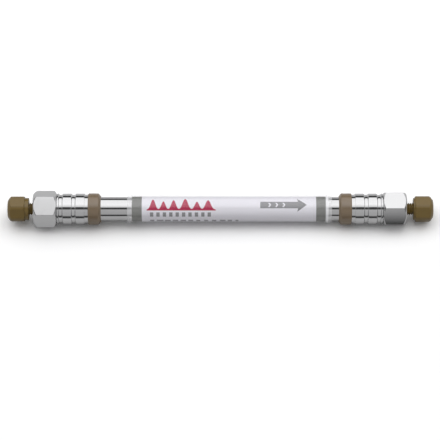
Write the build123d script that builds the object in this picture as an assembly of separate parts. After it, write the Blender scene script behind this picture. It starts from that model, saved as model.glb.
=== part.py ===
from build123d import *
import os
from dataclasses import dataclass

# A liquid chromatography column, lying with its axis along X. Liquid flows towards +X.
# All sizes are in millimetres. The origin is the middle of the body, on the axis.
# A depth is measured inward from the outer face of the end cap on that side.

# Column tube --------------------------------------------------------------------------------------
BODY_LENGTH = 147.2  # from one end cap's outer face to the other's
TUBE_OD = 9.525  # 3/8 inch
TUBE_BORE = 4.6
TUBE_START = 11.1  # depth of the tube's end face, which gives a 125 mm tube
SPIGOT_RADIUS = 3.9  # the tube's end is turned down to enter the end cap
SPIGOT_END = 16.7
RING_GROOVE_RADIUS = 4.2
RING_GROOVE_START = 17.5

# End cap: a 1/2 inch hexagon with a coned 10-32 UNF port and a threaded shank ---------------------
HEX_ACROSS_FLATS = 12.7
HEX_LENGTH = 9.1
HEX_OUTER_FACE_RADIUS = 5.9  # the flat face that is left inside the outer chamfer
HEX_INNER_FACE_RADIUS = 6.2
HEX_CORNER_RADIUS = HEX_ACROSS_FLATS / 3**0.5
HEX_OUTER_CHAMFER = 1.4  # along the axis, at the corners
HEX_INNER_CHAMFER = 0.9
PORT_MOUTH_RADIUS = 2.75
PORT_BORE_RADIUS = 2.45  # clears a 10-32 UNF thread, 4.83 across
PORT_MOUTH_CHAMFER = 0.3
PORT_THREAD_DEPTH = 5.6
PORT_CONE_DEPTH = 6.9
PILOT_RADIUS = 0.8  # takes a 1/16 inch capillary
PILOT_DEPTH = 8.0
PASSAGE_RADIUS = 0.25
SHANK_RADIUS = 5.2
SHANK_BORE_RADIUS = 3.95
SHANK_END = 16.5
SHANK_CHAMFER = 0.4

# Frit and its seal, clamped between the end cap and the tube --------------------------------------
FRIT_RADIUS = 2.4
FRIT_SEAL_RADIUS = 3.9

# Split ring: two halves in the tube's groove lock the coupling nut to the tube --------------------
SPLIT_RING_RADIUS = 5.2
SPLIT_RING_PLAY = 0.03  # round the bottom of the groove and beside it
SPLIT_RING_CUT = 0.2  # saw cut between the halves

# Coupling nut: the round grooved barrel -----------------------------------------------------------
NUT_START = 9.25
NUT_BORE_RADIUS = 5.25
NUT_SHOULDER = 19.6  # the rear wall that bears on the split ring
NUT_REAR_BORE_RADIUS = 4.8
NUT_LAND_RADIUS = 6.1
NUT_GROOVE_RADIUS = 5.65
NUT_COLLAR_RADIUS = 5.7
NUT_GROOVES = ((10.0, 11.75), (15.1, 16.85))
NUT_COLLAR_START = 20.3  # the reduced collar behind the last land
NUT_END = 21.7
NUT_FRONT_CHAMFER = 0.3
NUT_FLANK = 0.3  # the sides of the grooves lean by this much

# Lock ring: a PEEK collar pushed up the tube against the nut --------------------------------------
LOCK_RING_RADIUS = 6.17
LOCK_RING_BORE_RADIUS = 4.78
LOCK_RING_END = 26.7
LOCK_RING_EDGE = 0.22
LOCK_RING_NOSE_RADIUS = 4.98
LOCK_RING_NOSE_LENGTH = 0.9

# Port plug: a PEEK screw plug with a 3/8 inch hexagon head, its corners turned down ---------------
PLUG_ACROSS_FLATS = 9.525
PLUG_CORNER_RADIUS = 5.15
PLUG_FACE_RADIUS = 3.3
PLUG_OUTER_CHAMFER = 1.45
PLUG_BACK_RADIUS = 4.8
PLUG_BACK_CHAMFER = 0.3
PLUG_COLLAR_RADIUS = 4.35
PLUG_STANDOFF = 3.4  # from the end cap's outer face to the back of the head
PLUG_STEM_RADIUS = 1.95  # root of the 10-32 UNF thread
PLUG_CONE_START = 5.95
PLUG_CONE_END = 6.82
PLUG_TIP_RADIUS = 0.72
PLUG_TIP_END = 7.6

# Label wound round the bare tube, and the clear sleeve over it ------------------------------------
LABEL_START = -34.65
LABEL_END = 41.65
LABEL_THICKNESS = 0.14
SLEEVE_START = -36.5
SLEEVE_END = 44.1
SLEEVE_WALL = 0.42
WRAP_CLEARANCE = 0.02
BED_CLEARANCE = 0.01
ROOT_OVERLAP = 1.0  # a shank or stem starts this far inside the hexagon that it is one piece with
BORE_OVERRUN = 1.0  # a cut runs this far past the faces that it opens


@dataclass(frozen=True)
class End:
    """One end of the column. A clocking is the angle of a flat's normal above the front (-Y)."""

    name: str
    side: int  # -1 at the inlet, +1 at the outlet
    cap_clocking: float
    plug_clocking: float
    plug_head_length: float
    plug_collar_length: float


INLET = End("inlet", -1, 68.0, 33.0, 6.7, 1.6)
OUTLET = End("outlet", 1, 90.0, 39.0, 7.15, 0.6)


def station(end, depth):
    """X of a point at the given depth behind the end cap's outer face."""
    return end.side * (BODY_LENGTH / 2 - depth)


def spun(points):
    """Turned solid from a closed profile of (x, radius) points."""
    return revolve(make_face(Polyline(*points, close=True)), axis=Axis.X)


def turned(end, profile):
    """Turned solid at one end from a closed profile of (depth, radius) points."""
    return spun([(station(end, depth), radius) for depth, radius in profile])


def chamfer_ball(end, face_depth, inward, face_radius, corner_radius, run):
    """Ball that trims a hexagon's corners to a turned chamfer with a slight crown.

    Its surface passes through face_radius at the hexagon's end face, and through corner_radius
    at a distance run from that face. Inward is +1 where the hexagon lies deeper than the face.
    """
    offset = (run**2 + corner_radius**2 - face_radius**2) / (2 * run)
    radius = (offset**2 + face_radius**2) ** 0.5
    centre = Pos(station(end, face_depth + inward * offset), 0, 0)
    return centre * Rot(Y=90) * Sphere(radius)  # its poles lie on the column's axis


def hexagonal_bar(end, start, stop, across_flats, clocking):
    """Hexagonal bar between two depths, one flat's normal at the clocking angle."""
    face_x = max(station(end, start), station(end, stop))
    section = Plane(origin=(face_x, 0, 0), x_dir=(0, -1, 0), z_dir=(-1, 0, 0))
    outline = RegularPolygon(across_flats / 2, 6, major_radius=False, rotation=30 + clocking)
    return extrude(section * outline, amount=stop - start)


# End cap ------------------------------------------------------------------------------------------
def cap_hexagon(end):
    """The wrench hexagon, with a turned chamfer at each end."""
    bar = hexagonal_bar(end, 0, HEX_LENGTH, HEX_ACROSS_FLATS, end.cap_clocking)
    outer = chamfer_ball(end, 0, 1, HEX_OUTER_FACE_RADIUS, HEX_CORNER_RADIUS, HEX_OUTER_CHAMFER)
    inner = chamfer_ball(
        end, HEX_LENGTH, -1, HEX_INNER_FACE_RADIUS, HEX_CORNER_RADIUS, HEX_INNER_CHAMFER
    )
    return bar & outer & inner


def cap_shank(end):
    """The threaded shank that the coupling nut pulls on."""
    root = HEX_LENGTH - ROOT_OVERLAP
    return turned(
        end,
        [
            (root, 0),
            (root, SHANK_RADIUS),
            (SHANK_END - SHANK_CHAMFER, SHANK_RADIUS),
            (SHANK_END, SHANK_RADIUS - SHANK_CHAMFER),
            (SHANK_END, 0),
        ],
    )


def cap_hollow(end):
    """The coned port, capillary pilot, passage and the counterbore for the tube."""
    return turned(
        end,
        [
            (-BORE_OVERRUN, 0),
            (-BORE_OVERRUN, PORT_MOUTH_RADIUS),
            (0, PORT_MOUTH_RADIUS),
            (PORT_MOUTH_CHAMFER, PORT_BORE_RADIUS),
            (PORT_THREAD_DEPTH, PORT_BORE_RADIUS),
            (PORT_CONE_DEPTH, PILOT_RADIUS),
            (PILOT_DEPTH, PILOT_RADIUS),
            (PILOT_DEPTH, PASSAGE_RADIUS),
            (HEX_LENGTH, PASSAGE_RADIUS),
            (HEX_LENGTH, SHANK_BORE_RADIUS),
            (SHANK_END + BORE_OVERRUN, SHANK_BORE_RADIUS),
            (SHANK_END + BORE_OVERRUN, 0),
        ],
    )


def end_cap(end):
    """Hexagon and shank in one piece, bored through."""
    return cap_hexagon(end) + cap_shank(end) - cap_hollow(end)


# Pieces inside the coupling -----------------------------------------------------------------------
def frit(end):
    """Sintered disc that holds the packing in the tube."""
    return turned(
        end,
        [(HEX_LENGTH, 0), (HEX_LENGTH, FRIT_RADIUS), (TUBE_START, FRIT_RADIUS), (TUBE_START, 0)],
    )


def frit_seal(end):
    """PEEK ring pressed round the frit, which seals the tube's end face to the cap."""
    return turned(
        end,
        [
            (HEX_LENGTH, FRIT_RADIUS),
            (HEX_LENGTH, FRIT_SEAL_RADIUS),
            (TUBE_START, FRIT_SEAL_RADIUS),
            (TUBE_START, FRIT_RADIUS),
        ],
    )


def split_ring(end, half):
    """One half of the split ring, upper (+1) or lower (-1)."""
    inner = RING_GROOVE_RADIUS + SPLIT_RING_PLAY
    start = RING_GROOVE_START + SPLIT_RING_PLAY
    whole = turned(
        end,
        [
            (start, inner),
            (start, SPLIT_RING_RADIUS),
            (NUT_SHOULDER, SPLIT_RING_RADIUS),
            (NUT_SHOULDER, inner),
        ],
    )
    size = 2 * SPLIT_RING_RADIUS + 2
    middle = station(end, (start + NUT_SHOULDER) / 2)
    keep = Pos(middle, 0, half * (size + SPLIT_RING_CUT) / 2) * Box(size, size, size)
    return whole & keep


# Pieces round the coupling ------------------------------------------------------------------------
def nut_outline():
    """(depth, radius) points along the barrel's outside: front chamfer, lands, grooves, collar."""
    points = [
        (NUT_START, NUT_LAND_RADIUS - NUT_FRONT_CHAMFER),
        (NUT_START + NUT_FRONT_CHAMFER, NUT_LAND_RADIUS),
    ]
    for groove_start, groove_end in NUT_GROOVES:
        points += [
            (groove_start, NUT_LAND_RADIUS),
            (groove_start + NUT_FLANK, NUT_GROOVE_RADIUS),
            (groove_end - NUT_FLANK, NUT_GROOVE_RADIUS),
            (groove_end, NUT_LAND_RADIUS),
        ]
    points += [
        (NUT_COLLAR_START, NUT_LAND_RADIUS),
        (NUT_COLLAR_START, NUT_COLLAR_RADIUS),
        (NUT_END, NUT_COLLAR_RADIUS),
    ]
    return points


def coupling_nut(end):
    """Grooved barrel, threaded inside, with a rear wall that hooks over the split ring."""
    bore = [
        (NUT_END, NUT_REAR_BORE_RADIUS),
        (NUT_SHOULDER, NUT_REAR_BORE_RADIUS),
        (NUT_SHOULDER, NUT_BORE_RADIUS),
        (NUT_START, NUT_BORE_RADIUS),
    ]
    return turned(end, nut_outline() + bore)


def lock_ring(end):
    """PEEK collar with a long bevel on the side towards the label."""
    return turned(
        end,
        [
            (NUT_END, LOCK_RING_BORE_RADIUS),
            (NUT_END, LOCK_RING_RADIUS - LOCK_RING_EDGE),
            (NUT_END + LOCK_RING_EDGE, LOCK_RING_RADIUS),
            (LOCK_RING_END - LOCK_RING_NOSE_LENGTH, LOCK_RING_RADIUS),
            (LOCK_RING_END, LOCK_RING_NOSE_RADIUS),
            (LOCK_RING_END, LOCK_RING_BORE_RADIUS),
        ],
    )


# Port plug ----------------------------------------------------------------------------------------
def plug_head(end):
    """Hexagon head with its corners turned to a land and a deep chamfer on its end."""
    back = -PLUG_STANDOFF
    tip = back - end.plug_head_length
    land = turned(end, [(tip, 0), (tip, PLUG_CORNER_RADIUS), (back, PLUG_CORNER_RADIUS), (back, 0)])
    bar = hexagonal_bar(end, tip, back, PLUG_ACROSS_FLATS, end.plug_clocking)
    outer = chamfer_ball(end, tip, 1, PLUG_FACE_RADIUS, PLUG_CORNER_RADIUS, PLUG_OUTER_CHAMFER)
    inner = chamfer_ball(end, back, -1, PLUG_BACK_RADIUS, PLUG_CORNER_RADIUS, PLUG_BACK_CHAMFER)
    return bar & land & outer & inner


def plug_stem(end):
    """Collar behind the head, the stem that carries the thread, the sealing cone and its tip."""
    root = -PLUG_STANDOFF - ROOT_OVERLAP
    collar_end = end.plug_collar_length - PLUG_STANDOFF
    return turned(
        end,
        [
            (root, 0),
            (root, PLUG_COLLAR_RADIUS),
            (collar_end, PLUG_COLLAR_RADIUS),
            (collar_end, PLUG_STEM_RADIUS),
            (PLUG_CONE_START, PLUG_STEM_RADIUS),
            (PLUG_CONE_END, PLUG_TIP_RADIUS),
            (PLUG_TIP_END, PLUG_TIP_RADIUS),
            (PLUG_TIP_END, 0),
        ],
    )


def port_plug(end):
    """Head and stem in one piece."""
    return plug_head(end) + plug_stem(end)


# Tube, packing, label and sleeve ------------------------------------------------------------------
def tube_end_outline(end):
    """(x, radius) points of the tube's outside at one end, from its end face inward."""
    profile = [
        (TUBE_START, SPIGOT_RADIUS),
        (SPIGOT_END, SPIGOT_RADIUS),
        (SPIGOT_END, TUBE_OD / 2),
        (RING_GROOVE_START, TUBE_OD / 2),
        (RING_GROOVE_START, RING_GROOVE_RADIUS),
        (NUT_SHOULDER, RING_GROOVE_RADIUS),
        (NUT_SHOULDER, TUBE_OD / 2),
    ]
    return [(station(end, depth), radius) for depth, radius in profile]


def column_tube():
    """Polished steel tube with a spigot and a ring groove turned at each end."""
    bore = [
        (station(OUTLET, TUBE_START), TUBE_BORE / 2),
        (station(INLET, TUBE_START), TUBE_BORE / 2),
    ]
    return spun(tube_end_outline(INLET) + tube_end_outline(OUTLET)[::-1] + bore)


def packed_bed():
    """The packing, which fills the bore from frit to frit."""
    radius = TUBE_BORE / 2 - BED_CLEARANCE
    start = station(INLET, TUBE_START)
    stop = station(OUTLET, TUBE_START)
    return spun([(start, 0), (start, radius), (stop, radius), (stop, 0)])


def label_wrap():
    """Printed label, wound once round the tube."""
    inner = TUBE_OD / 2 + WRAP_CLEARANCE
    outer = inner + LABEL_THICKNESS
    return spun([(LABEL_START, inner), (LABEL_START, outer), (LABEL_END, outer), (LABEL_END, inner)])


def clear_sleeve():
    """Clear plastic sleeve that covers the label and reaches past both its edges."""
    inner = TUBE_OD / 2 + LABEL_THICKNESS + 2 * WRAP_CLEARANCE
    outer = inner + SLEEVE_WALL
    return spun(
        [(SLEEVE_START, inner), (SLEEVE_START, outer), (SLEEVE_END, outer), (SLEEVE_END, inner)]
    )


def build():
    """Every piece by its node name."""
    pieces = {
        "column_tube": column_tube(),
        "packed_bed": packed_bed(),
        "label_wrap": label_wrap(),
        "clear_sleeve": clear_sleeve(),
    }
    for end in (INLET, OUTLET):
        pieces[f"{end.name}_plug"] = port_plug(end)
        pieces[f"{end.name}_end_cap"] = end_cap(end)
        pieces[f"{end.name}_coupling_nut"] = coupling_nut(end)
        pieces[f"{end.name}_lock_ring"] = lock_ring(end)
        pieces[f"{end.name}_split_ring_upper"] = split_ring(end, 1)
        pieces[f"{end.name}_split_ring_lower"] = split_ring(end, -1)
        pieces[f"{end.name}_frit"] = frit(end)
        pieces[f"{end.name}_frit_seal"] = frit_seal(end)
    return pieces


os.makedirs("parts", exist_ok=True)
for node, solid in build().items():
    export_step(solid, f"parts/{node}.step")
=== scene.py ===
"""A liquid chromatography column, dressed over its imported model.

The steel end caps, coupling nuts and tube are turned and milled afresh with eased edges. The PEEK
plugs get their threads, and the label gets its print under a clear film. Lengths are millimetres
while a piece is being made, and metres on the finished piece.
"""

import logging
from dataclasses import dataclass
from enum import Enum
from math import cos, pi, radians, sin
from typing import Iterable, Sequence

import bmesh
import bpy
from mathutils import Matrix, Vector


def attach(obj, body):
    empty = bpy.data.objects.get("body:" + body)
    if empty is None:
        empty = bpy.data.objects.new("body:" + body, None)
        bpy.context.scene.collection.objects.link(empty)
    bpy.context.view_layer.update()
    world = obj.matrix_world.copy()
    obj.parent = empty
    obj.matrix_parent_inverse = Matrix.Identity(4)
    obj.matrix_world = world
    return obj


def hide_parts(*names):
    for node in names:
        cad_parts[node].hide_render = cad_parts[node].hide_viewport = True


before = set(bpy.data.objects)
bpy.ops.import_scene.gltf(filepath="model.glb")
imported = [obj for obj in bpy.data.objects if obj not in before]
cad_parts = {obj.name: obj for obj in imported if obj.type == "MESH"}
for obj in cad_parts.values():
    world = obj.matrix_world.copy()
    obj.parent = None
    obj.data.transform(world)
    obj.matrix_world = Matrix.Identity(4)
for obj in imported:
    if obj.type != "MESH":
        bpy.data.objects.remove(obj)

log = logging.getLogger("column")

Triple = tuple[float, float, float]
Colour = Triple
Span = tuple[float, float]
Profile = list[tuple[float, float]]

MM = 0.001
FULL_TURN = 360.0
HALF_TURN = 180.0
HEX_SIDES = 6
CORNER_TURN = 30.0  # from a hexagon's flat to its next corner
WHITE = (1.0, 1.0, 1.0)

# Sizes that more than one piece or finish uses. A depth is measured inward from the outer face of
# the end cap on that side.
HALF_LENGTH = 73.6  # from the middle of the body to an end cap's outer face
CAP_APOTHEM = 6.35
CAP_BLANK_RADIUS = 7.4  # a little past the hexagon's corners
PORT_RADIUS = 2.45
PORT_THREAD_DEPTH = 5.6
NUT_END = 21.7
LABEL = (-34.65, 41.65)
LABEL_RADIUS = 4.9225
SLEEVE = (-36.5, 44.1)
SLEEVE_RADIUS = 5.3625


# Shader building ----------------------------------------------------------------------------------
class Val:
    """A shader value that takes Python's arithmetic and adds the Math nodes for it."""

    def __init__(self, shader: "Shader", socket: bpy.types.NodeSocket) -> None:
        """Wraps an output socket of the given shader."""
        self.shader = shader
        self.socket = socket

    def output(self, name: str) -> "Val":
        """Another output of the same node."""
        return Val(self.shader, self.socket.node.outputs[name])

    def math(self, operation: str, *values: "Val | float") -> "Val":
        """A Math node of the given operation on the given values."""
        return self.shader.node("ShaderNodeMath", {"operation": operation}, dict(enumerate(values)))

    def __add__(self, other: "Val | float") -> "Val":
        """Sum."""
        return self.math("ADD", self, other)

    def __radd__(self, other: float) -> "Val":
        """Sum, number first."""
        return self.math("ADD", other, self)

    def __sub__(self, other: "Val | float") -> "Val":
        """Difference."""
        return self.math("SUBTRACT", self, other)

    def __rsub__(self, other: float) -> "Val":
        """Difference, number first."""
        return self.math("SUBTRACT", other, self)

    def __mul__(self, other: "Val | float") -> "Val":
        """Product."""
        return self.math("MULTIPLY", self, other)

    def __rmul__(self, other: float) -> "Val":
        """Product, number first."""
        return self.math("MULTIPLY", other, self)

    def __truediv__(self, other: "Val | float") -> "Val":
        """Quotient."""
        return self.math("DIVIDE", self, other)

    def __pow__(self, other: "Val | float") -> "Val":
        """Power."""
        return self.math("POWER", self, other)

    def __gt__(self, other: "Val | float") -> "Val":
        """One where this is greater, else zero."""
        return self.math("GREATER_THAN", self, other)

    def __lt__(self, other: "Val | float") -> "Val":
        """One where this is less, else zero."""
        return self.math("LESS_THAN", self, other)

    def __abs__(self) -> "Val":
        """Size without sign."""
        return self.math("ABSOLUTE", self)

    def fraction(self) -> "Val":
        """What is left above the whole number."""
        return self.math("FRACT", self)

    def floor(self) -> "Val":
        """Whole number below."""
        return self.math("FLOOR", self)

    def exp(self) -> "Val":
        """Exponential."""
        return self.math("EXPONENT", self)

    def larger(self, other: "Val | float") -> "Val":
        """The larger of two values."""
        return self.math("MAXIMUM", self, other)

    def smaller(self, other: "Val | float") -> "Val":
        """The smaller of two values."""
        return self.math("MINIMUM", self, other)

    def rise(self, low: float, high: float) -> "Val":
        """Zero at low and one at high, straight between them and level beyond."""
        names = {"Value": self, "From Min": low, "From Max": high, "To Min": 0.0, "To Max": 1.0}
        return self.shader.node("ShaderNodeMapRange", {"clamp": True}, names)

    def band(self, start: float, stop: float, soft: float) -> "Val":
        """One between start and stop, with edges of the given softness."""
        inside = self.rise(start - soft / 2, start + soft / 2)
        return inside * (1 - self.rise(stop - soft / 2, stop + soft / 2))


class Shader:
    """A node tree that is filled through one method."""

    NOISE_ROUGHNESS = 0.55

    def __init__(self, tree: bpy.types.NodeTree) -> None:
        """Empties the tree."""
        tree.nodes.clear()
        self.tree = tree

    def node(
        self,
        kind: str,
        settings: dict | None = None,
        inputs: dict | None = None,
        output: int | str = 0,
    ) -> Val:
        """Adds a node.

        Args:
            kind: The node's type.
            settings: Its own settings, set first. "stops" are a ramp's (position, colour) pairs.
            inputs: Values, or linked values, by socket name or number.
            output: The output that is returned.

        Returns:
            That output.
        """
        made = self.tree.nodes.new(kind)
        for name, value in (settings or {}).items():
            if name == "stops":
                self.set_stops(made.color_ramp, value)
            else:
                setattr(made, name, value)
        for key, value in (inputs or {}).items():
            if isinstance(value, Val):
                self.tree.links.new(made.inputs[key], value.socket)
            else:
                made.inputs[key].default_value = value
        return Val(self, made.outputs[output])

    @staticmethod
    def set_stops(ramp: bpy.types.ColorRamp, stops: Sequence[tuple[float, Colour]]) -> None:
        """Gives a ramp its stops.

        Args:
            ramp: The ramp.
            stops: Pairs of a position and a colour, in rising order.
        """
        while len(ramp.elements) < len(stops):
            ramp.elements.new(1.0)
        for element, (position, colour) in zip(ramp.elements, stops):
            element.position = position
            element.color = (*colour, 1.0)

    def blend(self, factor: Val | float, first: Val | Colour, second: Val | Colour) -> Val:
        """Mixes two colours.

        Args:
            factor: Zero for the first and one for the second.
            first: One colour.
            second: The other colour.

        Returns:
            The mix.
        """
        ends = [c if isinstance(c, Val) else (*c, 1.0) for c in (first, second)]
        inputs = {0: factor, 6: ends[0], 7: ends[1]}
        return self.node("ShaderNodeMix", {"data_type": "RGBA"}, inputs, 2)

    def shade(self, colour: Val | Colour, amount: Val) -> Val:
        """Makes a colour darker or paler.

        Args:
            colour: The colour.
            amount: The factor, near one.

        Returns:
            The colour times the factor.
        """
        held = colour if isinstance(colour, Val) else tuple(colour)
        triple = self.node("ShaderNodeCombineXYZ", None, {0: amount, 1: amount, 2: amount})
        inputs = {0: held, 1: triple}
        return self.node("ShaderNodeVectorMath", {"operation": "MULTIPLY"}, inputs)

    def place(self) -> Val:
        """Object coordinates, as a vector in metres."""
        return self.node("ShaderNodeTexCoord", output="Object")

    def millimetres(self) -> tuple[Val, Val, Val]:
        """X, Y and Z on the piece, in millimetres."""
        split = self.node("ShaderNodeSeparateXYZ", None, {0: self.place()})
        return split * (1 / MM), split.output("Y") * (1 / MM), split.output("Z") * (1 / MM)

    def angle(self, y: Val, z: Val) -> Val:
        """Direction round the axis, in degrees: 0 is the front and 90 is overhead."""
        return z.math("ARCTAN2", z, y * -1.0) / radians(1.0)

    def round_axis(self) -> tuple[Val, Val, Val]:
        """X and the distance from the axis, in millimetres, and the direction round the axis."""
        x, y, z = self.millimetres()
        return x, (y * y + z * z) ** 0.5, self.angle(y, z)

    def turned(self, x: Val, radius: Val) -> Val:
        """A place in metres that is the same all the way round the axis, for a lathe's marks."""
        return self.node("ShaderNodeCombineXYZ", None, {0: x * MM, 1: radius * MM, 2: 0.0})

    def noise(
        self,
        scale: float,
        detail: float = 2.0,
        stretch: Triple = (1.0, 1.0, 1.0),
        vector: Val | None = None,
    ) -> Val:
        """Noise between zero and one.

        Args:
            scale: Features per millimetre.
            detail: Octaves above the first.
            stretch: Scale factors along X, Y and Z.
            vector: What it varies with, in metres, or the place on the piece.

        Returns:
            The noise.
        """
        inputs = {0: vector or self.place(), 1: stretch}
        stretched = self.node("ShaderNodeVectorMath", {"operation": "MULTIPLY"}, inputs)
        names = {
            "Vector": stretched,
            "Scale": scale / MM,
            "Detail": detail,
            "Roughness": self.NOISE_ROUGHNESS,
        }
        return self.node("ShaderNodeTexNoise", None, names)

    def bump(self, height: Val, depth: float) -> Val:
        """Normal bent by a height, where one stands for a depth in millimetres."""
        inputs = {"Height": height, "Distance": depth * MM, "Strength": 1.0}
        return self.node("ShaderNodeBump", None, inputs, "Normal")

    def principled(self, **inputs: Val | float | tuple) -> Val:
        """Principled surface whose inputs are named with underscores for spaces."""
        named = {key.replace("_", " "): value for key, value in inputs.items()}
        return self.node("ShaderNodeBsdfPrincipled", None, named)

    def surface(self, closure: Val, kind: str = "ShaderNodeOutputMaterial") -> None:
        """Sends a closure to the output."""
        made = self.tree.nodes.new(kind)
        self.tree.links.new(made.inputs["Surface"], closure.socket)


def new_shader(name: str) -> tuple[bpy.types.Material, Shader]:
    """Starts a material.

    Args:
        name: Its name.

    Returns:
        The material and the shader that fills it.
    """
    material = bpy.data.materials.new(name)
    material.use_nodes = True
    return material, Shader(material.node_tree)


def grey(level: float) -> Colour:
    """A colour of one level."""
    return (level, level, level)


# Finishes -----------------------------------------------------------------------------------------
class Lay(Enum):
    """Which way a machined surface's fine marks run."""

    ROUND = "round the axis"
    ALONG = "along the bar, on flats, and round the axis elsewhere"


@dataclass(frozen=True)
class PolishedSteel:
    """Bright steel with the faint marks of its machining, and a few smudges.

    Scales are features per millimetre, and depths are millimetres.
    """

    name: str
    lay: Lay = Lay.ROUND
    port_thread: bool = False
    tint: Colour = (0.62, 0.62, 0.624)
    roughness: float = 0.055
    turned_scale: float = 14.0
    drawn_scale: float = 9.0
    drawn_stretch: Triple = (0.02, 1.0, 1.0)
    mark_detail: float = 3.0
    mark_depth: float = 0.0006
    mark_roughness: float = 0.035
    smudge_scale: float = 0.22
    smudge_edge: Span = (0.48, 0.72)
    smudge_cover: float = 0.35
    smudge_tint: float = 0.93
    smudge_roughness: float = 0.05
    crown: float = 0.00354  # fall of a flat away from its middle, per square millimetre
    thread_depth: float = 0.16

    def flats(self, radius: Val) -> Val:
        """Mask of the hexagon's flats and corners, past the inscribed circle."""
        return (radius > CAP_APOTHEM + 0.01) * (radius < CAP_BLANK_RADIUS)

    def thread(self, x: Val, radius: Val, angle: Val) -> Val:
        """Shapes the right-hand thread inside the ports.

        Args:
            x: Place along the axis.
            radius: Distance from the axis.
            angle: Direction round the axis.

        Returns:
            Its height, in millimetres.
        """
        turn = x / PortThread.pitch + angle / FULL_TURN
        vee = 1 - abs(turn.fraction() - 0.5) * 2.0
        inside = (radius < PORT_RADIUS + 0.15) * (abs(x) > HALF_LENGTH - PORT_THREAD_DEPTH)
        return vee * inside * self.thread_depth

    def material(self) -> bpy.types.Material:
        """Builds the finish.

        Returns:
            The finished material.
        """
        material, shader = new_shader(self.name)
        x, radius, angle = shader.round_axis()
        around = shader.turned(x, radius)
        marks = shader.noise(self.turned_scale, self.mark_detail, vector=around)
        if self.lay is Lay.ALONG:
            flats = self.flats(radius)
            drawn = shader.noise(self.drawn_scale, self.mark_detail, self.drawn_stretch)
            marks = marks + flats * (drawn - marks)
        height = marks * self.mark_depth
        if self.lay is Lay.ALONG:
            height = height - flats * (radius * radius - CAP_APOTHEM**2) * self.crown
        if self.port_thread:
            height = height + self.thread(x, radius, angle)
        smudge = shader.noise(self.smudge_scale, detail=3.0).rise(*self.smudge_edge)
        dull = tuple(c * self.smudge_tint for c in self.tint)
        shine = marks * self.mark_roughness + smudge * self.smudge_roughness
        shader.surface(
            shader.principled(
                Base_Color=shader.blend(smudge * self.smudge_cover, self.tint, dull),
                Metallic=1.0,
                Roughness=shine + self.roughness,
                Normal=shader.bump(height, 1.0),
            )
        )
        return material


@dataclass(frozen=True)
class Peek:
    """Moulded and turned PEEK: an opaque tan or brown plastic with a dull sheen.

    Scales are features per millimetre.
    """

    name: str
    colour: Colour
    specular: float = 0.5
    ior: float = 1.67
    roughness: float = 0.24
    turned_scale: float = 5.0
    cloud_scale: float = 0.45
    grain_scale: float = 7.0
    darkest: float = 0.90
    cloud_tone: float = 0.13
    grain_tone: float = 0.09
    cloud_roughness: float = 0.08
    grain_roughness: float = 0.05
    turned_relief: float = 0.6
    grain_relief: float = 0.4
    relief_depth: float = 0.006

    def material(self) -> bpy.types.Material:
        """Builds the finish.

        Returns:
            The finished material.
        """
        material, shader = new_shader(self.name)
        x, radius, _ = shader.round_axis()
        turned = shader.noise(self.turned_scale, vector=shader.turned(x, radius))
        cloud = shader.noise(self.cloud_scale, detail=4.0)
        grain = shader.noise(self.grain_scale, detail=3.0)
        tone = cloud * self.cloud_tone + grain * self.grain_tone + self.darkest
        dulling = cloud * self.cloud_roughness + grain * self.grain_roughness
        height = turned * self.turned_relief + grain * self.grain_relief
        shader.surface(
            shader.principled(
                Base_Color=shader.shade(self.colour, tone),
                Roughness=dulling + self.roughness,
                IOR=self.ior,
                Specular_IOR_Level=self.specular,
                Normal=shader.bump(height, self.relief_depth),
            )
        )
        return material


@dataclass(frozen=True)
class FlowArrow:
    """An arrow that points towards the outlet, with pale chevrons in its shaft."""

    level: float = 77.0  # its middle, in degrees above the front
    tail: float = 15.9
    barb: float = 30.4
    notch: float = 31.1
    tip: float = 34.2
    half_shaft: float = 1.35
    half_head: float = 2.8
    chevrons: tuple[float, ...] = (19.6, 22.4, 25.2)
    chevron_width: float = 0.62
    half_chevron: float = 0.85
    chevron_lean: float = 0.8

    def mask(self, x: Val, v: Val, soft: float) -> Val:
        """Draws the arrow.

        Args:
            x: Place along the column.
            v: Distance round the label above its level.
            soft: Softness of a printed edge.

        Returns:
            One on the arrow and zero off it.
        """
        off = abs(v)
        shaft = off.band(-1.0, self.half_shaft, soft) * x.band(self.tail, self.notch, soft)
        front = x + off * ((self.tip - self.barb) / self.half_head)
        back = x + off * ((self.notch - self.barb) / self.half_head)
        head = 1 - front.rise(self.tip - soft, self.tip + soft)
        head = head * back.rise(self.notch - soft, self.notch + soft)
        head = head * off.band(-1.0, self.half_head, soft)
        leading = x + off * self.chevron_lean
        pale = 0.0
        for start in self.chevrons:
            pale = leading.band(start, start + self.chevron_width, soft) + pale
        pale = pale * off.band(-1.0, self.half_chevron, soft)
        return shaft.larger(head) * (1 - pale.smaller(1.0))


@dataclass(frozen=True)
class Trace:
    """A row of filled peaks on a baseline, as a separation draws them."""

    level: float = 50.6  # its foot, in degrees above the front
    along: Span = (-28.8, -1.6)
    baseline: float = 0.42
    peaks: tuple[tuple[float, float, float], ...] = (  # each one's X, height and width
        (-26.3, 4.4, 1.15),
        (-22.2, 3.4, 1.05),
        (-18.2, 4.0, 1.15),
        (-13.6, 4.7, 1.35),
        (-9.0, 3.2, 1.15),
        (-4.6, 4.0, 1.35),
    )

    def mask(self, x: Val, v: Val, soft: float) -> Val:
        """Draws the peaks.

        Args:
            x: Place along the column.
            v: Distance round the label above its foot.
            soft: Softness of a printed edge.

        Returns:
            One on the peaks and zero off them.
        """
        top = self.baseline
        for centre, height, width in self.peaks:
            offset = (x - centre) / width
            top = (offset * offset * -1.0).exp() * height + top
        filled = (1 - (v - top).rise(-soft, soft)) * v.rise(-soft, soft)
        return filled * x.band(*self.along, soft)


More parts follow.
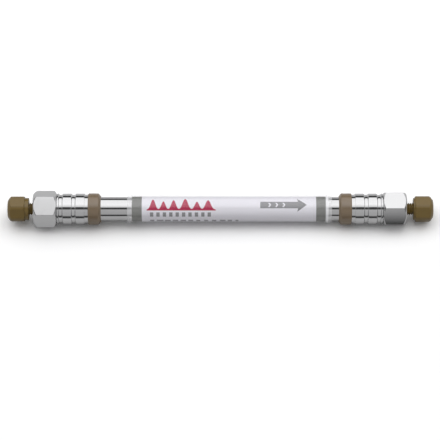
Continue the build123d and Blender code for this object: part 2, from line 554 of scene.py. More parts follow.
@dataclass(frozen=True)
class Bars:
    """A row with one bar in each step along the label."""

    level: float  # its foot, in degrees above the front
    along: Span
    height: float
    step: float
    first: float  # where a step starts
    least: float  # the shortest bar, as a part of the step
    spread: float = 0.0  # what chance adds to a bar, as a part of the step
    cover: float = 1.0
    end_soft: float = 0.02

    def mask(self, x: Val, v: Val, soft: float) -> Val:
        """Draws the bars.

        Args:
            x: Place along the column.
            v: Distance round the label above its foot.
            soft: Softness of a printed edge.

        Returns:
            How far they cover the paper.
        """
        cell = (x - self.first) / self.step
        bar = cell.fraction() - self.least
        if self.spread:
            seed = {"W": cell.floor()}
            chance = x.shader.node("ShaderNodeTexWhiteNoise", {"noise_dimensions": "1D"}, seed)
            bar = bar - chance * self.spread
        bar = 1 - bar.rise(-self.end_soft, self.end_soft)
        row = x.band(*self.along, self.end_soft) * v.band(0.0, self.height, soft)
        return bar * row * self.cover


@dataclass(frozen=True)
class PrintedLabel:
    """White label stock, printed with colour fields and plain shapes and no words.

    Places along the column are X in millimetres. Places round it are degrees above the front.
    """

    name: str
    paper: Colour = (0.855, 0.84, 0.90)
    band_grey: Colour = (0.235, 0.237, 0.226)
    inlet_band: Span = (-36.0, -30.73)
    outlet_band: Span = (37.9, 43.0)
    arrow: FlowArrow = FlowArrow()
    arrow_grey: Colour = (0.285, 0.285, 0.295)
    trace: Trace = Trace()
    raspberry: Colour = (0.47, 0.028, 0.085)
    blocks: Bars = Bars(20.0, (-27.5, -2.3), height=1.88, step=2.52, first=-27.5, least=0.52)
    block_grey: Colour = (0.30, 0.30, 0.31)
    low_bars: Bars = Bars(-20.5, (-27.5, 7.3), 1.6, 3.1, 0.0, least=0.48, spread=0.4, cover=0.7)
    bar_grey: Colour = (0.12, 0.12, 0.13)
    soft: float = 0.05
    # The seam is drawn as painted shade: a darker line where the label's overlapping edge would
    # shade the paper.
    seam: float = -148.0
    seam_half_width: float = 0.5
    seam_soft: float = 0.3
    seam_shade_cover: float = 0.35
    seam_shade_level: float = 0.6
    fibre_scale: float = 2.5
    fibre_stretch: Triple = (0.4, 1.0, 1.0)
    fibre_depth: float = 0.004
    darkest: float = 0.985
    fibre_tone: float = 0.03
    roughness: float = 0.45
    fibre_roughness: float = 0.15
    specular: float = 0.25

    def stock(self, shader: Shader, angle: Val, fibre: Val) -> Val:
        """Colours the bare paper, with its fibres, and painted shade along its seam.

        Args:
            shader: The label's shader.
            angle: Direction round the axis.
            fibre: Noise of the paper's fibres.

        Returns:
            The colour.
        """
        paper = shader.shade(self.paper, fibre * self.fibre_tone + self.darkest)
        # Painted shade: the paper is darker along the seam, standing in for the shade of the
        # overlapping edge.
        seam = abs(angle - self.seam).band(-1.0, self.seam_half_width, self.seam_soft)
        shadow = tuple(c * self.seam_shade_level for c in self.paper)
        return shader.blend(seam * self.seam_shade_cover, paper, shadow)

    def material(self) -> bpy.types.Material:
        """Builds the finish.

        Returns:
            The finished material.
        """
        material, shader = new_shader(self.name)
        x, _, angle = shader.round_axis()
        fibre = shader.noise(self.fibre_scale, detail=4.0, stretch=self.fibre_stretch)
        bands = x.band(*self.inlet_band, self.soft) + x.band(*self.outlet_band, self.soft)
        colour = shader.blend(bands, self.stock(shader, angle, fibre), self.band_grey)
        for pattern, ink in (
            (self.arrow, self.arrow_grey),
            (self.trace, self.raspberry),
            (self.blocks, self.block_grey),
            (self.low_bars, self.bar_grey),
        ):
            round_label = (angle - pattern.level) * radians(1.0) * LABEL_RADIUS
            colour = shader.blend(pattern.mask(x, round_label, self.soft), colour, ink)
        shader.surface(
            shader.principled(
                Base_Color=colour,
                Roughness=fibre * self.fibre_roughness + self.roughness,
                Specular_IOR_Level=self.specular,
                Normal=shader.bump(fibre, self.fibre_depth),
            )
        )
        return material


@dataclass(frozen=True)
class ClearFilm:
    """Clear plastic that is glossy, a little milky past the label and white at the outlet end."""

    name: str
    gloss: float = 0.055  # mirrored straight on
    skin: float = 0.03  # what counts as the outside
    cut_depth: float = 0.012
    cut_cover: float = 0.35
    milky: float = 0.38
    white: float = 0.85
    white_edge: Span = (LABEL[1], 42.75)
    white_soft: float = 0.06
    clear: Colour = (0.985, 0.985, 0.985)
    shine: Colour = (0.9, 0.9, 0.92)
    ripple_scale: float = 0.35
    ripple_stretch: Triple = (0.25, 1.0, 1.0)
    ripple_depth: float = 0.01
    roughness: float = 0.10
    ripple_roughness: float = 0.08

    def material(self) -> bpy.types.Material:
        """Builds the finish.

        Returns:
            The finished material.
        """
        material, shader = new_shader(self.name)
        x, radius, _ = shader.round_axis()
        facing = shader.node("ShaderNodeLayerWeight", None, {"Blend": 0.5}, "Facing")
        mirrored = facing**5.0 * (1 - self.gloss) + self.gloss
        outside = 1 - shader.node("ShaderNodeNewGeometry", output="Backfacing")
        outer = radius > SLEEVE_RADIUS - self.skin
        start, stop = SLEEVE
        cut = (x < start + self.cut_depth).larger(x > stop - self.cut_depth)
        bare = (x < LABEL[0]).larger(x > LABEL[1])
        edge = x.band(*self.white_edge, self.white_soft)
        haze = (bare * self.milky).larger(edge * self.white)
        cover = (mirrored * outer).larger(cut * self.cut_cover).larger(haze * outer) * outside
        ripple = shader.noise(self.ripple_scale, stretch=self.ripple_stretch)
        clear = shader.node("ShaderNodeBsdfTransparent", None, {0: (*self.clear, 1.0)})
        shine = shader.principled(
            Base_Color=(*self.shine, 1.0),
            Metallic=1 - bare * outer,
            Roughness=ripple * self.ripple_roughness + self.roughness,
            Normal=shader.bump(ripple, self.ripple_depth),
        )
        shader.surface(shader.node("ShaderNodeMixShader", None, {0: cover, 1: clear, 2: shine}))
        return material


@dataclass(frozen=True)
class Sintered:
    """Pressed and sintered steel powder."""

    name: str
    grain_scale: float = 12.0
    grain: Colour = (0.62, 0.61, 0.59)
    pore: Colour = (0.26, 0.255, 0.25)
    roughness: float = 0.38
    pore_roughness: float = 0.25
    relief: float = 0.02

    def material(self) -> bpy.types.Material:
        """Builds the finish.

        Returns:
            The finished material.
        """
        material, shader = new_shader(self.name)
        names = {"Vector": shader.place(), "Scale": self.grain_scale / MM}
        grains = shader.node("ShaderNodeTexVoronoi", {"feature": "F1"}, names)
        shader.surface(
            shader.principled(
                Base_Color=shader.blend(grains, self.grain, self.pore),
                Metallic=1.0,
                Roughness=grains * self.pore_roughness + self.roughness,
                Normal=shader.bump(1 - grains, self.relief),
            )
        )
        return material


@dataclass(frozen=True)
class Silica:
    """Fine white packing."""

    name: str
    colour: Colour = (0.86, 0.85, 0.82)
    darkest: float = 0.92
    grain_tone: float = 0.14
    grain_scale: float = 30.0
    roughness: float = 0.9
    relief: float = 0.01

    def material(self) -> bpy.types.Material:
        """Builds the finish.

        Returns:
            The finished material.
        """
        material, shader = new_shader(self.name)
        grain = shader.noise(self.grain_scale)
        tone = grain * self.grain_tone + self.darkest
        shader.surface(
            shader.principled(
                Base_Color=shader.shade(self.colour, tone),
                Roughness=self.roughness,
                Normal=shader.bump(grain, self.relief),
            )
        )
        return material


# Mesh building ------------------------------------------------------------------------------------
@dataclass(frozen=True)
class Corner:
    """A corner of a turned profile: its X, its radius and how far it is eased."""

    along: float
    radius: float
    ease: float = 0.0


class Blank:
    """A mesh in the making, in millimetres, about the column's axis."""

    MERGE = 1e-5
    ON_CUT = 1e-4  # what a cut takes as lying on its plane
    ON_FLAT = 0.01  # what counts as lying on a flat
    SAME_WAY = 0.9999  # least cosine between normals that point the same way
    SHARP = 32.0  # degrees, past which an edge stays sharp

    def __init__(self) -> None:
        """Starts an empty mesh."""
        self.bm = bmesh.new()

    def turn(
        self,
        corners: Sequence[Corner],
        steps: int = 144,
        start: float = 0.0,
        ring: bool = True,
    ) -> None:
        """Spins a closed profile into a turned solid.

        Args:
            corners: The profile's corners in X and radius. Those with an easing are rounded off.
            steps: Facets round the axis.
            start: Angle of the first facet's edge above the front, in degrees.
            ring: True if the profile closes on itself, False if both its ends lie on the axis.
        """
        bm = self.bm
        verts = [bm.verts.new((c.along, -c.radius, 0.0)) for c in corners]
        for a, b in zip(verts, verts[1:] + (verts[:1] if ring else [])):
            bm.edges.new((a, b))
        for ease in sorted({c.ease for c in corners if c.ease}):
            picked = [v for v, c in zip(verts, corners) if c.ease == ease]
            bmesh.ops.bevel(
                bm, geom=picked, offset=ease, offset_type="OFFSET", segments=3, profile=0.5,
                affect="VERTICES", clamp_overlap=True, material=-1,
            )
        profile = bm.verts[:] + bm.edges[:]
        clocking = Matrix.Rotation(-radians(start), 3, "X")
        bmesh.ops.rotate(bm, verts=bm.verts, cent=(0, 0, 0), matrix=clocking)
        bmesh.ops.spin(
            bm, geom=profile, cent=(0, 0, 0), axis=(1, 0, 0), dvec=(0, 0, 0), angle=2 * pi,
            steps=steps, use_merge=True, use_duplicate=False,
        )
        bmesh.ops.remove_doubles(bm, verts=bm.verts, dist=self.MERGE)
        bmesh.ops.recalc_face_normals(bm, faces=bm.faces)

    def mill_hexagon(self, apothem: float, clocking: float, along: Span, ease: float) -> None:
        """Cuts six flats and eases their edges.

        Args:
            apothem: Half the distance across flats.
            clocking: Angle of one flat's normal above the front, in degrees.
            along: X range that the flats lie in.
            ease: Width of the easing on the flats' edges.
        """
        bm = self.bm
        normals = []
        for side in range(HEX_SIDES):
            turn = radians(clocking + side * FULL_TURN / HEX_SIDES)
            normal = Vector((0.0, -cos(turn), sin(turn)))
            normals.append(normal)
            geom = bm.verts[:] + bm.edges[:] + bm.faces[:]
            bmesh.ops.bisect_plane(
                bm, geom=geom, dist=self.ON_CUT, plane_co=normal * apothem, plane_no=normal,
                clear_outer=True,
            )
            bmesh.ops.edgeloop_fill(bm, edges=[e for e in bm.edges if e.is_boundary])
        bmesh.ops.recalc_face_normals(bm, faces=bm.faces)
        flats = [f for f in bm.faces if self.is_flat(f, normals, apothem, along)]
        edges = list({e for f in flats for e in f.edges})
        bmesh.ops.bevel(
            bm, geom=edges, offset=ease, offset_type="OFFSET", segments=2, profile=0.5,
            affect="EDGES", clamp_overlap=True, material=-1,
        )

    def is_flat(
        self, face: bmesh.types.BMFace, normals: Sequence[Vector], apothem: float, along: Span
    ) -> bool:
        """True if a face is one of the hexagon's flats.

        Args:
            face: The face.
            normals: The flats' normals.
            apothem: Half the distance across flats.
            along: X range that the flats lie in.

        Returns:
            Whether it lies in one of their planes and in that range.
        """
        middle = face.calc_center_median()
        if not along[0] < middle.x < along[1]:
            return False
        return any(
            face.normal.dot(normal) > self.SAME_WAY
            and abs(middle.dot(normal) - apothem) < self.ON_FLAT
            for normal in normals
        )

    def coil(
        self,
        section: Profile,
        start: float,
        pitch: float,
        turns: float,
        steps_per_turn: int = 48,
    ) -> None:
        """Winds a thread's section round the axis, right-handed.

        Args:
            section: One pitch of the thread, as offsets along the axis and radii.
            start: X of its first turn.
            pitch: Advance per turn.
            turns: Turns wound.
            steps_per_turn: Facets per turn.
        """
        bm = self.bm
        verts = [bm.verts.new((start + along, -radius, 0.0)) for along, radius in section]
        for a, b in zip(verts, verts[1:] + verts[:1]):
            bm.edges.new((a, b))
        steps = round(turns * steps_per_turn)
        bmesh.ops.spin(
            bm, geom=bm.verts[:] + bm.edges[:], cent=(0, 0, 0), axis=(1, 0, 0),
            dvec=(pitch / steps_per_turn, 0, 0), angle=2 * pi * steps / steps_per_turn, steps=steps,
            use_merge=False, use_duplicate=False,
        )
        bmesh.ops.edgeloop_fill(bm, edges=[e for e in bm.edges if e.is_boundary])
        bmesh.ops.recalc_face_normals(bm, faces=bm.faces)

    def finish(
        self,
        name: str,
        body: str,
        slot: str,
        material: bpy.types.Material,
        stands_for: Iterable[str] = (),
    ) -> bpy.types.Object:
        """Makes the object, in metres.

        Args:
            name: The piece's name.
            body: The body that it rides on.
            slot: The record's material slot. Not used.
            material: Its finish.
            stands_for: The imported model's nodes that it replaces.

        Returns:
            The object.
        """
        bmesh.ops.scale(self.bm, verts=self.bm.verts, vec=(MM, MM, MM))
        for face in self.bm.faces:
            face.smooth = True
        mesh = bpy.data.meshes.new(name)
        self.bm.to_mesh(mesh)
        self.bm.free()
        mesh.set_sharp_from_angle(angle=radians(self.SHARP))
        mesh.materials.append(material)
        piece = bpy.data.objects.new(name, mesh)
        bpy.context.collection.objects.link(piece)
        weights = piece.modifiers.new("flat faces stay flat", "WEIGHTED_NORMAL")
        weights.keep_sharp = True
        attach(piece, body)
        nodes = list(stands_for)
        if nodes:
            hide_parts(*nodes)
        log.info("%s: %d faces on body %s", name, len(mesh.polygons), body)
        return piece


# The column's pieces ------------------------------------------------------------------------------
@dataclass(frozen=True)
class End:
    """One end of the column. A clocking is the angle of a flat's normal above the front."""

    name: str
    side: int
    cap_clocking: float
    plug_clocking: float
    plug_head: float
    plug_collar: float

    def corners(self, points: Iterable[tuple[float, ...]]) -> list[Corner]:
        """Profile corners from points of depth and radius, and an easing where there is one."""
        return [Corner(self.side * (HALF_LENGTH - p[0]), *p[1:]) for p in points]

    def span(self, start: float, stop: float) -> Span:
        """X range between two depths."""
        ends = [self.side * (HALF_LENGTH - depth) for depth in (start, stop)]
        return min(ends), max(ends)


@dataclass
class Finishes:
    """The materials that several pieces share."""

    cap_steel: bpy.types.Material
    turned_steel: bpy.types.Material
    brown_peek: bpy.types.Material
    tan_peek: bpy.types.Material


@dataclass
class EndCap:
    """Hexagon with a coned port, and the shank that the nut pulls on."""

    end: End
    length: float = 9.1
    corner_radius: float = 7.332
    outer_face_radius: float = 5.9
    outer_chamfer: float = 1.4
    inner_face_radius: float = 6.2
    inner_chamfer: float = 0.9
    face_ease: float = 0.07
    flat_ease: float = 0.09
    mouth_radius: float = 2.75
    mouth_chamfer: float = 0.3
    mouth_ease: float = 0.06
    cone_depth: float = 6.9
    pilot_radius: float = 0.8
    pilot_depth: float = 8.0
    passage_radius: float = 0.25
    shank_radius: float = 5.2
    shank_bore: float = 3.95
    shank_end: float = 16.5
    shank_chamfer: float = 0.4
    shank_ease: float = 0.05

    def chamfer_run(self, face_radius: float, at_corner: float) -> float:
        """How far a chamfer runs along the blank, from its run at the hexagon's corners."""
        return (CAP_BLANK_RADIUS - face_radius) * at_corner / (self.corner_radius - face_radius)

    def section(self) -> list[Corner]:
        """Draws the cap before its flats are milled.

        Returns:
            The closed turning profile.
        """
        outer = self.chamfer_run(self.outer_face_radius, self.outer_chamfer)
        inner = self.chamfer_run(self.inner_face_radius, self.inner_chamfer)
        return self.end.corners(
            [
                (0.0, self.mouth_radius, self.mouth_ease),
                (0.0, self.outer_face_radius, self.face_ease),
                (outer, CAP_BLANK_RADIUS),
                (self.length - inner, CAP_BLANK_RADIUS),
                (self.length, self.inner_face_radius, self.face_ease),
                (self.length, self.shank_radius),
                (self.shank_end - self.shank_chamfer, self.shank_radius, self.shank_ease),
                (self.shank_end, self.shank_radius - self.shank_chamfer),
                (self.shank_end, self.shank_bore),
                (self.length, self.shank_bore),
                (self.length, self.passage_radius),
                (self.pilot_depth, self.passage_radius),
                (self.pilot_depth, self.pilot_radius),
                (self.cone_depth, self.pilot_radius),
                (PORT_THREAD_DEPTH, PORT_RADIUS),
                (self.mouth_chamfer, PORT_RADIUS, self.mouth_ease),
            ]
        )

    def build(self, finishes: Finishes) -> None:
        """Turns and mills the cap.

        Args:
            finishes: The shared materials.
        """
        end = self.end
        blank = Blank()
        blank.turn(self.section(), start=end.cap_clocking + CORNER_TURN)
        along = end.span(0.0, self.length)
        blank.mill_hexagon(CAP_APOTHEM, end.cap_clocking, along, self.flat_ease)
        name = f"{end.name}_cap_dressed"
        node = f"{end.name}_end_cap"
        blank.finish(name, "column", "polished_steel", finishes.cap_steel, [node])


@dataclass
class CouplingNut:
    """Round barrel with two grooves and a reduced collar."""

    end: End
    start: float = 9.25
    land: float = 6.1
    front_chamfer: float = 0.3
    front_ease: float = 0.05
    grooves: tuple[Span, ...] = ((10.0, 11.75), (15.1, 16.85))
    groove: float = 5.65
    flank: float = 0.3
    groove_ease: float = 0.07
    collar_start: float = 20.3
    collar: float = 5.7
    land_ease: float = 0.1
    collar_ease: float = 0.05
    shoulder: float = 19.6
    bore: float = 5.25
    rear_bore: float = 4.8

    def section(self) -> list[Corner]:
        """Draws the nut.

        Returns:
            The closed turning profile.
        """
        points: list[tuple[float, ...]] = [
            (self.start, self.land - self.front_chamfer, self.front_ease),
            (self.start + self.front_chamfer, self.land, self.groove_ease),
        ]
        for start, stop in self.grooves:
            points += [
                (start, self.land, self.groove_ease),
                (start + self.flank, self.groove, self.groove_ease),
                (stop - self.flank, self.groove, self.groove_ease),
                (stop, self.land, self.groove_ease),
            ]
        points += [
            (self.collar_start, self.land, self.land_ease),
            (self.collar_start, self.collar),
            (NUT_END, self.collar, self.collar_ease),
            (NUT_END, self.rear_bore),
            (self.shoulder, self.rear_bore),
            (self.shoulder, self.bore),
            (self.start, self.bore),
        ]
        return self.end.corners(points)

    def build(self, finishes: Finishes) -> None:
        """Turns the nut.

        Args:
            finishes: The shared materials.
        """
        blank = Blank()
        blank.turn(self.section())
        name = f"{self.end.name}_nut_dressed"
        node = f"{self.end.name}_coupling_nut"
        blank.finish(name, "column", "polished_steel", finishes.turned_steel, [node])


@dataclass
class LockRing:
    """PEEK collar with a bevel on the side towards the label."""

    end: End
    stop: float = 26.7
    radius: float = 6.17
    bore: float = 4.78
    chamfer: float = 0.22
    chamfer_ease: float = 0.1
    nose_radius: float = 4.98
    nose_length: float = 0.9
    nose_ease: float = 0.25
    tip_ease: float = 0.08

    def section(self) -> list[Corner]:
        """Draws the ring.

        Returns:
            The closed turning profile.
        """
        return self.end.corners(
            [
                (NUT_END, self.bore),
                (NUT_END, self.radius - self.chamfer),
                (NUT_END + self.chamfer, self.radius, self.chamfer_ease),
                (self.stop - self.nose_length, self.radius, self.nose_ease),
                (self.stop, self.nose_radius, self.tip_ease),
                (self.stop, self.bore),
            ]
        )

    def build(self, finishes: Finishes) -> None:
        """Turns the ring.

        Args:
            finishes: The shared materials.
        """
        blank = Blank()
        blank.turn(self.section())
        name = f"{self.end.name}_ring_dressed"
        node = f"{self.end.name}_lock_ring"
        blank.finish(name, "column", "tan_peek", finishes.tan_peek, [node])


@dataclass(frozen=True)
class PortThread:
    """The 10-32 UNF thread of the ports and plugs."""

    pitch: float = 0.79375
    major: float = 2.41
    root: float = 1.95
    sunk: float = 1.85  # the thread's foot, inside the stem
    foot: float = 0.04
    half_crest: float = 0.05

    def section(self) -> Profile:
        """Draws one pitch of the thread.

        Returns:
            Offsets along the axis and radii.
        """
        middle = self.pitch / 2
        return [
            (0.0, self.sunk),
            (self.foot, self.root),
            (middle - self.half_crest, self.major),
            (middle + self.half_crest, self.major),
            (self.pitch - self.foot, self.root),
            (self.pitch, self.sunk),
        ]


@dataclass
class PortPlug:
    """PEEK plug: hexagon head, collar, threaded stem and sealing cone."""

    end: End
    thread: PortThread = PortThread()
    standoff: float = 3.4
    apothem: float = 4.7625
    flat_ease: float = 0.11
    corner: float = 5.15
    corner_ease: float = 0.2
    face: float = 3.3
    chamfer: float = 1.45
    crown_depth: float = 0.647  # the chamfer swells a little, to this point
    crown_radius: float = 4.286
    crown_ease: float = 0.5
    back: float = 4.8
    back_chamfer: float = 0.3
    back_ease: float = 0.1
    back_face_ease: float = 0.08
    collar: float = 4.35
    collar_ease: float = 0.15
    cone_start: float = 5.95
    cone_end: float = 6.82
    tip_radius: float = 0.72
    tip_end: float = 7.6
    tip_ease: float = 0.05
    thread_end: float = 5.5
    thread_runout: float = 0.3  # how far the thread starts inside the collar

    @property
    def body(self) -> str:
        """The body that the plug is."""
        return f"{self.end.name}_plug"

    def section(self) -> list[Corner]:
        """Draws the plug.

        Returns:
            The turning profile, from the axis at its face to the axis at its tip.
        """
        back = -self.standoff
        front = back - self.end.plug_head
        collar_end = back + self.end.plug_collar
        return self.end.corners(
            [
                (front, 0.0),
                (front, self.face, self.corner_ease),
                (front + self.crown_depth, self.crown_radius, self.crown_ease),
                (front + self.chamfer, self.corner, self.corner_ease),
                (back - self.back_chamfer, self.corner, self.back_ease),
                (back, self.back, self.back_face_ease),
                (back, self.collar),
                (collar_end, self.collar, self.collar_ease),
                (collar_end, self.thread.root),
                (self.cone_start, self.thread.root, self.tip_ease),
                (self.cone_end, self.tip_radius),
                (self.tip_end, self.tip_radius, self.tip_ease),
                (self.tip_end, 0.0),
            ]
        )

    def build(self, finishes: Finishes) -> None:
        """Turns and mills the plug and winds its thread.

        Args:
            finishes: The shared materials.
        """
        end = self.end
        blank = Blank()
        blank.turn(self.section(), start=end.plug_clocking + CORNER_TURN, ring=False)
        along = end.span(-self.standoff - end.plug_head, -self.standoff)
        blank.mill_hexagon(self.apothem, end.plug_clocking, along, self.flat_ease)
        name = f"{end.name}_plug_dressed"
        blank.finish(name, self.body, "brown_peek", finishes.brown_peek, [self.body])
        self.wind_thread(finishes)

    def wind_thread(self, finishes: Finishes) -> None:
        """Winds the thread on the stem.

        Args:
            finishes: The shared materials.
        """
        first = -self.standoff + self.end.plug_collar - self.thread_runout
        low, high = self.end.span(first, self.thread_end)
        pitch = self.thread.pitch
        coil = Blank()
        coil.coil(self.thread.section(), low, pitch, (high - low) / pitch - 1)
        coil.finish(f"{self.end.name}_plug_thread", self.body, "brown_peek", finishes.brown_peek)


@dataclass
class Barrel:
    """The column tube with the label and film round it."""

    tube_radius: float = 4.7625
    tube_bore: float = 2.3
    tube_end: float = 62.5
    spigot_radius: float = 3.9
    spigot_end: float = 56.9
    ring_groove: Span = (56.1, 54.0)
    ring_groove_radius: float = 4.2
    label_bore: float = 4.7825
    sleeve_bore: float = 4.9425
    sleeve_ease: float = 0.1
    wrap_steps: int = 192

    def tube(self, steel: bpy.types.Material) -> None:
        """Turns the tube, with a spigot and a ring groove at each end.

        Args:
            steel: Its finish.
        """
        groove_start, groove_stop = self.ring_groove
        half = [
            (self.tube_end, self.tube_bore),
            (self.tube_end, self.spigot_radius),
            (self.spigot_end, self.spigot_radius),
            (self.spigot_end, self.tube_radius),
            (groove_start, self.tube_radius),
            (groove_start, self.ring_groove_radius),
            (groove_stop, self.ring_groove_radius),
            (groove_stop, self.tube_radius),
        ]
        left = [Corner(-x, r) for x, r in half]
        right = [Corner(x, r) for x, r in reversed(half)]
        blank = Blank()
        blank.turn(left + right)
        blank.finish("tube_dressed", "column", "polished_steel", steel, ["column_tube"])

    def wrap(self, along: Span, bore: float, radius: float, ease: float = 0.0) -> Blank:
        """A thin round wall.

        Args:
            along: Its X range.
            bore: Its inner radius.
            radius: Its outer radius.
            ease: How far its outer edges are eased.

        Returns:
            The blank.
        """
        start, stop = along
        blank = Blank()
        section = [
            Corner(start, bore),
            Corner(start, radius, ease),
            Corner(stop, radius, ease),
            Corner(stop, bore),
        ]
        blank.turn(section, steps=self.wrap_steps)
        return blank

    def build(
        self, steel: bpy.types.Material, paper: bpy.types.Material, film: bpy.types.Material
    ) -> None:
        """Makes the tube, the label and the sleeve.

        Args:
            steel: The tube's finish.
            paper: The label's.
            film: The sleeve's.
        """
        self.tube(steel)
        label = self.wrap(LABEL, self.label_bore, LABEL_RADIUS)
        label.finish("label_printed", "column", "label_paper", paper, ["label_wrap"])
        sleeve = self.wrap(SLEEVE, self.sleeve_bore, SLEEVE_RADIUS, self.sleeve_ease)
        sleeve.finish("sleeve_film", "column", "clear_film", film, ["clear_sleeve"])


@dataclass
class InnerPieces:
    """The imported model's own pieces that the coupling hides."""

    steel: bpy.types.Material
    peek: bpy.types.Material

    def dress(self) -> None:
        """Gives the frits, seals, split rings and packing their finishes."""
        sintered = Sintered("sintered_steel").material()
        finishes = {"packed_bed": Silica("silica_packing").material()}
        for end in ("inlet", "outlet"):
            finishes[f"{end}_frit"] = sintered
            finishes[f"{end}_frit_seal"] = self.peek
            finishes[f"{end}_split_ring_upper"] = self.steel
            finishes[f"{end}_split_ring_lower"] = self.steel
        for node, material in finishes.items():
            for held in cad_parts[node].material_slots:
                held.material = material
            log.info("%s: finished as %s", node, material.name)


# Studio -------------------------------------------------------------------------------------------
BLUE_LEAN = 1.005  # how much stronger the light is in blue
# Light levels by direction round the column, in degrees: 0 is the front and 90 is overhead.
# MIRRORED is what the steel and the film reflect, and LIT is what falls on everything else.
MIRRORED = (
    (-180, 0.50), (-16, 0.46), (-13, 0.08), (-1, 0.08), (1, 0.20), (4, 0.43), (8, 0.52),
    (28, 0.54), (52, 0.60), (54, 0.20), (56.5, 0.063), (70, 0.057), (74, 0.98), (80, 1.06),
    (86, 1.28), (95, 1.46), (122, 1.42), (150, 1.36), (153, 0.70), (156, 0.09), (173, 0.06),
    (176, 0.34), (180, 0.50),
)
LIT = (
    (-180, 0.2), (0, 0.28), (58, 0.31), (64, 0.60), (72, 1.20), (78, 1.95), (90, 2.26),
    (104, 2.32), (114, 1.92), (126, 1.32), (138, 0.82), (150, 0.42), (160, 0.14), (180, 0.14),
)


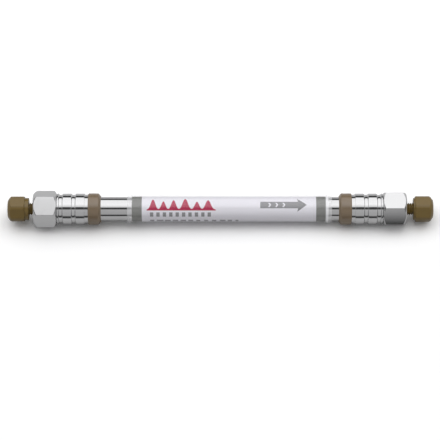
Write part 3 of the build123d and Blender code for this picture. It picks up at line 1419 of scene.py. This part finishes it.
@dataclass
class Studio:
    """Camera, light and floor.

    Directions in the world run from -1 to 1 along each axis. Places on the floor are Y in
    millimetres, which falls towards the camera.
    """

    elevation: float = 58.0
    distance: float = 1.0
    lens: float = 207.1
    sensor: float = 36.0
    aim: Triple = (0.000065, 0.0, 0.0)
    aim_drop: float = 0.00435
    floor_height: float = -0.006831
    floor_slope: float = 0.00657
    floor_size: float = 6.0
    end_turn: Span = (0.72, 0.93)  # where the ring of light gives way to the ends of the room
    end_rise: Span = (0.1, 0.32)
    end_levels: Span = (0.06, 1.5)
    dimmed_turn: Span = (0.45, 0.8)  # where the light falls off towards the ends
    dimming: float = 0.6
    floor_front: Span = (-41.0, -33.0)
    floor_rear: Span = (-2.0, 14.0)
    floor_matt: float = 0.60
    floor_past: float = 0.06  # mirrored by the steel past the floor's front edge
    floor_mirrored: Span = (0.55, 0.66)  # near and far
    # Painted light: the floor is paler to the camera behind the column, washing out the column's
    # shade there.
    floor_seen: Span = (1.04, 1.12)

    def camera(self) -> None:
        """Places the camera in front of and above the column."""
        data = bpy.data.cameras.new("camera")
        data.lens = self.lens
        data.sensor_width = self.sensor
        data.clip_start, data.clip_end = 0.01, 20.0
        tilt = radians(self.elevation)
        back = Vector((0.0, -cos(tilt), sin(tilt)))
        up = Vector((0.0, sin(tilt), cos(tilt)))
        camera = bpy.data.objects.new("camera", data)
        camera.location = Vector(self.aim) - up * self.aim_drop + back * self.distance
        camera.rotation_euler = (radians(90) - tilt, 0.0, 0.0)
        bpy.context.collection.objects.link(camera)
        bpy.context.scene.camera = camera

    def ring(self, shader: Shader, angle: Val, stops: Sequence[tuple[float, float]]) -> Val:
        """Sets the light by its direction round the column.

        Args:
            shader: The world's shader.
            angle: The direction, in degrees.
            stops: Pairs of degrees and a level.

        Returns:
            The light's colour.
        """
        tones = [
            ((degrees + HALF_TURN) / FULL_TURN, (level, level, level * BLUE_LEAN))
            for degrees, level in stops
        ]
        place = (angle + HALF_TURN) / FULL_TURN
        return shader.node("ShaderNodeValToRGB", {"stops": tones}, {0: place})

    def world(self) -> None:
        """Soft overhead light, strip reflections for the steel, and white behind everything."""
        world = bpy.data.worlds.new("studio")
        world.use_nodes = True
        bpy.context.scene.world = world
        shader = Shader(world.node_tree)
        direction = shader.node("ShaderNodeTexCoord", output="Generated")
        x = shader.node("ShaderNodeSeparateXYZ", None, {0: direction})
        y, z = x.output("Y"), x.output("Z")
        angle = shader.angle(y, z)
        far = shader.blend(z.rise(*self.end_rise), *map(grey, self.end_levels))
        ends = abs(x).rise(*self.end_turn)
        mirrored = shader.blend(ends, self.ring(shader, angle, MIRRORED), far)
        dimmed = 1 - abs(x).rise(*self.dimmed_turn) * self.dimming
        lit = shader.shade(self.ring(shader, angle, LIT), dimmed)
        path = shader.node("ShaderNodeLightPath")
        colour = shader.blend(path.output("Is Glossy Ray"), lit, mirrored)
        colour = shader.blend(path.output("Is Camera Ray"), colour, WHITE)
        background = shader.node("ShaderNodeBackground", None, {0: colour, 1: 1.0})
        shader.surface(background, "ShaderNodeOutputWorld")

    def floor(self) -> None:
        """A pale floor that the column rests on, which shows from above only."""
        bm = bmesh.new()
        bmesh.ops.create_grid(bm, x_segments=1, y_segments=1, size=self.floor_size / 2)
        tilt = Matrix.Rotation(-self.floor_slope, 3, "Y")
        bmesh.ops.rotate(bm, verts=bm.verts, cent=(0, 0, 0), matrix=tilt)
        bmesh.ops.translate(bm, verts=bm.verts, vec=(0, 0, self.floor_height))
        mesh = bpy.data.meshes.new("floor")
        bm.to_mesh(mesh)
        bm.free()
        mesh.materials.append(self.floor_material())
        floor = bpy.data.objects.new("floor", mesh)
        bpy.context.collection.objects.link(floor)

    def floor_material(self) -> bpy.types.Material:
        """White to the camera, and paler behind the column, which is painted light that washes out
        its shade there; duller where the steel mirrors it, and clear from below.

        Returns:
            The floor's material.
        """
        material, shader = new_shader("floor")
        y = shader.millimetres()[1]
        path = shader.node("ShaderNodeLightPath")
        front = y.rise(*self.floor_front)
        rear = y.rise(*self.floor_rear)
        mirrored = shader.blend(rear, *map(grey, self.floor_mirrored))
        mirrored = shader.blend(front, grey(self.floor_past), mirrored)
        # Painted light: paler to the camera behind the column, so the column's shade there is
        # washed out.
        seen = shader.blend(rear, *map(grey, self.floor_seen))
        colour = shader.blend(path.output("Is Glossy Ray"), grey(self.floor_matt), mirrored)
        colour = shader.blend(path.output("Is Camera Ray"), colour, seen)
        matt = shader.node("ShaderNodeBsdfDiffuse", None, {0: colour})
        clear = shader.node("ShaderNodeBsdfTransparent", None, {0: (*WHITE, 1.0)})
        below = shader.node("ShaderNodeNewGeometry", output="Backfacing")
        shader.surface(shader.node("ShaderNodeMixShader", None, {0: below, 1: matt, 2: clear}))
        return material

    def build(self) -> None:
        """Sets up the whole studio."""
        bpy.context.scene.view_settings.view_transform = "Standard"
        self.camera()
        self.world()
        self.floor()


def corners(box: tuple[Vector, Vector]) -> list[list[float]]:
    """A bounding box as plain lists."""
    return [list(map(float, point)) for point in box]


def main() -> None:
    """Builds the studio and the column's pieces in order."""
    logging.basicConfig(level=logging.INFO, format="%(message)s")
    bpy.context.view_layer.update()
    Studio().build()
    finishes = Finishes(
        cap_steel=PolishedSteel("cap_steel", Lay.ALONG, port_thread=True).material(),
        turned_steel=PolishedSteel("turned_steel").material(),
        brown_peek=Peek("brown_peek", (0.150, 0.096, 0.019), specular=0.35).material(),
        tan_peek=Peek("tan_peek", (0.175, 0.122, 0.069), specular=0.6).material(),
    )
    for end in (
        End("inlet", -1, 68.0, 33.0, 6.7, 1.6),
        End("outlet", 1, 90.0, 39.0, 7.15, 0.6),
    ):
        for piece in (EndCap(end), CouplingNut(end), LockRing(end), PortPlug(end)):
            piece.build(finishes)
    tube_steel = PolishedSteel("tube_steel", tint=(0.60, 0.60, 0.603), roughness=0.06).material()
    paper = PrintedLabel("label_print").material()
    Barrel().build(tube_steel, paper, ClearFilm("clear_film").material())
    InnerPieces(finishes.turned_steel, finishes.tan_peek).dress()


if __name__ == "__main__":
    main()
